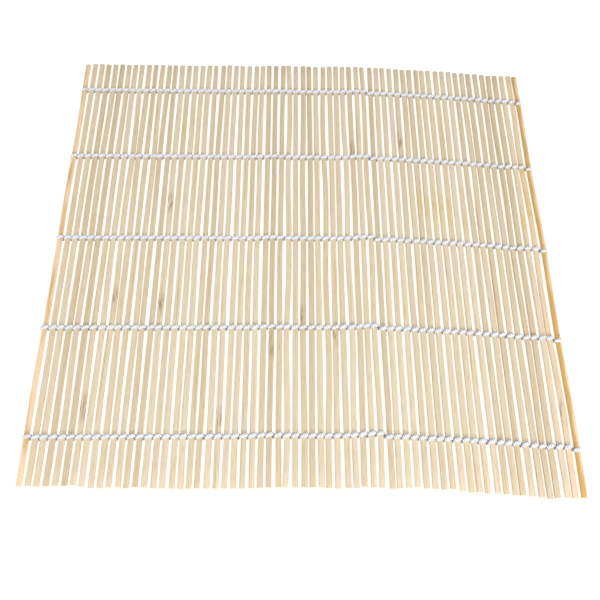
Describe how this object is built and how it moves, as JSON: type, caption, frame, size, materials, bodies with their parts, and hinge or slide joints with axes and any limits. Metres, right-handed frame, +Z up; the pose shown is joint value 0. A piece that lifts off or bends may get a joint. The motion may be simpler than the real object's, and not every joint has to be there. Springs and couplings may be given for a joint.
{
  "type": "sushi rolling mat",
  "caption": "Flexible rolling mat: flat bamboo slats side by side, bound by rows of twisted cotton twine, so that it lies flat or rolls up.",
  "frame": {"origin": "centre of the mat on the plane that the undersides of its stitches rest on", "axes": "+X across the slats, the way the mat rolls; +Y along the slats, towards the back; +Z up"},
  "size_m": [0.241, 0.2448, 0.0032],
  "materials": {
    "bamboo": "split bamboo planed flat, unvarnished, satin",
    "cotton_twine": "bleached two-strand cotton twine, matt"
  },
  "bodies": {
    "right_edge": {"slats_01": "bamboo", "twine_01": "cotton_twine"},
    "link_02": {"slats_02": "bamboo", "twine_02": "cotton_twine"},
    "link_03": {"slats_03": "bamboo", "twine_03": "cotton_twine"},
    "link_04": {"slats_04": "bamboo", "twine_04": "cotton_twine"},
    "link_05": {"slats_05": "bamboo", "twine_05": "cotton_twine"},
    "link_06": {"slats_06": "bamboo", "twine_06": "cotton_twine"},
    "link_07": {"slats_07": "bamboo", "twine_07": "cotton_twine"},
    "link_08": {"slats_08": "bamboo", "twine_08": "cotton_twine"},
    "link_09": {"slats_09": "bamboo", "twine_09": "cotton_twine"},
    "link_10": {"slats_10": "bamboo", "twine_10": "cotton_twine"},
    "link_11": {"slats_11": "bamboo", "twine_11": "cotton_twine"},
    "link_12": {"slats_12": "bamboo", "twine_12": "cotton_twine"},
    "link_13": {"slats_13": "bamboo", "twine_13": "cotton_twine"},
    "link_14": {"slats_14": "bamboo", "twine_14": "cotton_twine"},
    "link_15": {"slats_15": "bamboo", "twine_15": "cotton_twine"},
    "link_16": {"slats_16": "bamboo", "twine_16": "cotton_twine"},
    "link_17": {"slats_17": "bamboo", "twine_17": "cotton_twine"},
    "link_18": {"slats_18": "bamboo", "twine_18": "cotton_twine"},
    "link_19": {"slats_19": "bamboo", "twine_19": "cotton_twine"},
    "link_20": {"slats_20": "bamboo", "twine_20": "cotton_twine"},
    "link_21": {"slats_21": "bamboo", "twine_21": "cotton_twine"},
    "link_22": {"slats_22": "bamboo", "twine_22": "cotton_twine"},
    "link_23": {"slats_23": "bamboo", "twine_23": "cotton_twine"},
    "link_24": {"slats_24": "bamboo", "twine_24": "cotton_twine"},
    "link_25": {"slats_25": "bamboo", "twine_25": "cotton_twine"},
    "link_26": {"slats_26": "bamboo", "twine_26": "cotton_twine"},
    "link_27": {"slats_27": "bamboo", "twine_27": "cotton_twine"},
    "link_28": {"slats_28": "bamboo", "twine_28": "cotton_twine"},
    "link_29": {"slats_29": "bamboo", "twine_29": "cotton_twine"},
    "left_edge": {"slats_30": "bamboo", "twine_30": "cotton_twine"}
  },
  "joints": [
    {"name": "bend_01", "type": "hinge", "parent": "right_edge", "child": "link_02", "pos_m": [0.10915, 0, 0.00156], "axis": [0, 1, 0], "range_deg": [-28.9, 28.9]},
    {"name": "bend_02", "type": "hinge", "parent": "link_02", "child": "link_03", "pos_m": [0.09805, 0, 0.00156], "axis": [0, 1, 0], "range_deg": [-29.4, 29.4]},
    {"name": "bend_03", "type": "hinge", "parent": "link_03", "child": "link_04", "pos_m": [0.08695, 0, 0.00156], "axis": [0, 1, 0], "range_deg": [-30, 30]},
    {"name": "bend_04", "type": "hinge", "parent": "link_04", "child": "link_05", "pos_m": [0.07585, 0, 0.00156], "axis": [0, 1, 0], "range_deg": [-30.6, 30.6]},
    {"name": "bend_05", "type": "hinge", "parent": "link_05", "child": "link_06", "pos_m": [0.06475, 0, 0.00156], "axis": [0, 1, 0], "range_deg": [-25.9, 25.9]},
    {"name": "bend_06", "type": "hinge", "parent": "link_06", "child": "link_07", "pos_m": [0.05735, 0, 0.00156], "axis": [0, 1, 0], "range_deg": [-21, 21]},
    {"name": "bend_07", "type": "hinge", "parent": "link_07", "child": "link_08", "pos_m": [0.04995, 0, 0.00156], "axis": [0, 1, 0], "range_deg": [-21.3, 21.3]},
    {"name": "bend_08", "type": "hinge", "parent": "link_08", "child": "link_09", "pos_m": [0.04255, 0, 0.00156], "axis": [0, 1, 0], "range_deg": [-21.6, 21.6]},
    {"name": "bend_09", "type": "hinge", "parent": "link_09", "child": "link_10", "pos_m": [0.03515, 0, 0.00156], "axis": [0, 1, 0], "range_deg": [-22, 22]},
    {"name": "bend_10", "type": "hinge", "parent": "link_10", "child": "link_11", "pos_m": [0.02775, 0, 0.00156], "axis": [0, 1, 0], "range_deg": [-22.3, 22.3]},
    {"name": "bend_11", "type": "hinge", "parent": "link_11", "child": "link_12", "pos_m": [0.02035, 0, 0.00156], "axis": [0, 1, 0], "range_deg": [-22.7, 22.7]},
    {"name": "bend_12", "type": "hinge", "parent": "link_12", "child": "link_13", "pos_m": [0.01295, 0, 0.00156], "axis": [0, 1, 0], "range_deg": [-23.1, 23.1]},
    {"name": "bend_13", "type": "hinge", "parent": "link_13", "child": "link_14", "pos_m": [0.00555, 0, 0.00156], "axis": [0, 1, 0], "range_deg": [-23.5, 23.5]},
    {"name": "bend_14", "type": "hinge", "parent": "link_14", "child": "link_15", "pos_m": [-0.00185, 0, 0.00156], "axis": [0, 1, 0], "range_deg": [-24, 24]},
    {"name": "bend_15", "type": "hinge", "parent": "link_15", "child": "link_16", "pos_m": [-0.00925, 0, 0.00156], "axis": [0, 1, 0], "range_deg": [-24.4, 24.4]},
    {"name": "bend_16", "type": "hinge", "parent": "link_16", "child": "link_17", "pos_m": [-0.01665, 0, 0.00156], "axis": [0, 1, 0], "range_deg": [-24.9, 24.9]},
    {"name": "bend_17", "type": "hinge", "parent": "link_17", "child": "link_18", "pos_m": [-0.02405, 0, 0.00156], "axis": [0, 1, 0], "range_deg": [-25.5, 25.5]},
    {"name": "bend_18", "type": "hinge", "parent": "link_18", "child": "link_19", "pos_m": [-0.03145, 0, 0.00156], "axis": [0, 1, 0], "range_deg": [-26, 26]},
    {"name": "bend_19", "type": "hinge", "parent": "link_19", "child": "link_20", "pos_m": [-0.03885, 0, 0.00156], "axis": [0, 1, 0], "range_deg": [-26.6, 26.6]},
    {"name": "bend_20", "type": "hinge", "parent": "link_20", "child": "link_21", "pos_m": [-0.04625, 0, 0.00156], "axis": [0, 1, 0], "range_deg": [-27.3, 27.3]},
    {"name": "bend_21", "type": "hinge", "parent": "link_21", "child": "link_22", "pos_m": [-0.05365, 0, 0.00156], "axis": [0, 1, 0], "range_deg": [-28, 28]},
    {"name": "bend_22", "type": "hinge", "parent": "link_22", "child": "link_23", "pos_m": [-0.06105, 0, 0.00156], "axis": [0, 1, 0], "range_deg": [-28.7, 28.7]},
    {"name": "bend_23", "type": "hinge", "parent": "link_23", "child": "link_24", "pos_m": [-0.06845, 0, 0.00156], "axis": [0, 1, 0], "range_deg": [-29.6, 29.6]},
    {"name": "bend_24", "type": "hinge", "parent": "link_24", "child": "link_25", "pos_m": [-0.07585, 0, 0.00156], "axis": [0, 1, 0], "range_deg": [-30.4, 30.4]},
    {"name": "bend_25", "type": "hinge", "parent": "link_25", "child": "link_26", "pos_m": [-0.08325, 0, 0.00156], "axis": [0, 1, 0], "range_deg": [-31.4, 31.4]},
    {"name": "bend_26", "type": "hinge", "parent": "link_26", "child": "link_27", "pos_m": [-0.09065, 0, 0.00156], "axis": [0, 1, 0], "range_deg": [-32.5, 32.5]},
    {"name": "bend_27", "type": "hinge", "parent": "link_27", "child": "link_28", "pos_m": [-0.09805, 0, 0.00156], "axis": [0, 1, 0], "range_deg": [-33.7, 33.7]},
    {"name": "bend_28", "type": "hinge", "parent": "link_28", "child": "link_29", "pos_m": [-0.10545, 0, 0.00156], "axis": [0, 1, 0], "range_deg": [-35.1, 35.1]},
    {"name": "bend_29", "type": "hinge", "parent": "link_29", "child": "left_edge", "pos_m": [-0.11285, 0, 0.00156], "axis": [0, 1, 0], "range_deg": [-36.6, 36.6]}
  ]
}
